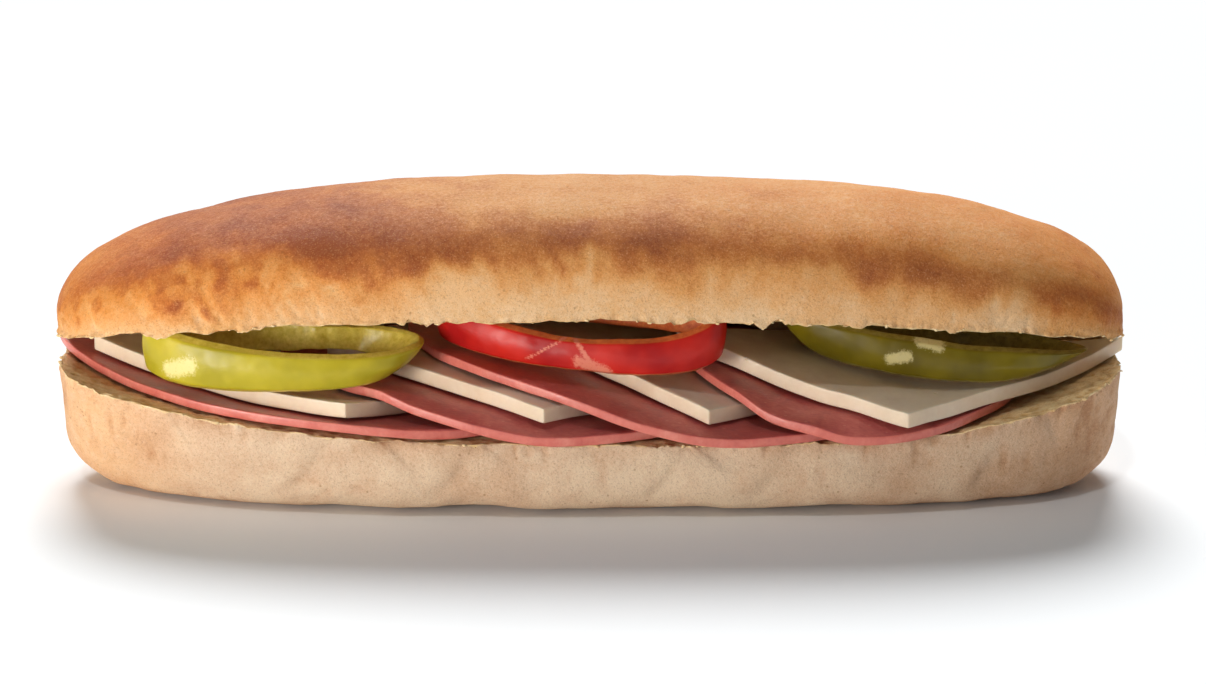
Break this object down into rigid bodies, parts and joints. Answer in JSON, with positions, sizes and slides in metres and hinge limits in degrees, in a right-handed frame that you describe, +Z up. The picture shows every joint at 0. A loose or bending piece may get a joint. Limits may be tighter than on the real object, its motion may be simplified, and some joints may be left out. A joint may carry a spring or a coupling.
{
  "type": "filled sandwich roll",
  "caption": "Long soft roll split lengthwise, filled with shingled ham and white cheese slices under rings of green and red pepper.",
  "frame": {"origin": "on the surface that the roll rests on, in the plane of its flat base, midway along its 240 mm length and midway across its width; the slices that overhang the bread are not counted", "axes": "+X along the roll, +Z up, -Y towards the open side that shows the filling"},
  "size_m": [0.2432, 0.0808, 0.0696],
  "materials": {
    "crust": "golden-brown baked crust, matte and finely grained",
    "pale_crust": "pale baked crust with a cut crumb face, matte",
    "ham": "cooked pink ham, moist and slightly glossy",
    "cheese": "white semi-hard cheese, satin",
    "green_pepper": "light green pepper, glossy skin and wet flesh",
    "red_pepper": "red pepper, glossy skin and wet flesh"
  },
  "bodies": {
    "root": {"bread_crown": "crust", "bread_heel": "pale_crust", "cheese_1": "cheese", "cheese_2": "cheese", "cheese_3": "cheese", "cheese_4": "cheese", "ham_1": "ham", "ham_2": "ham", "ham_3": "ham", "ham_4": "ham", "pepper_green_left": "green_pepper", "pepper_green_right": "green_pepper", "pepper_red": "red_pepper"}
  },
  "joints": []
}
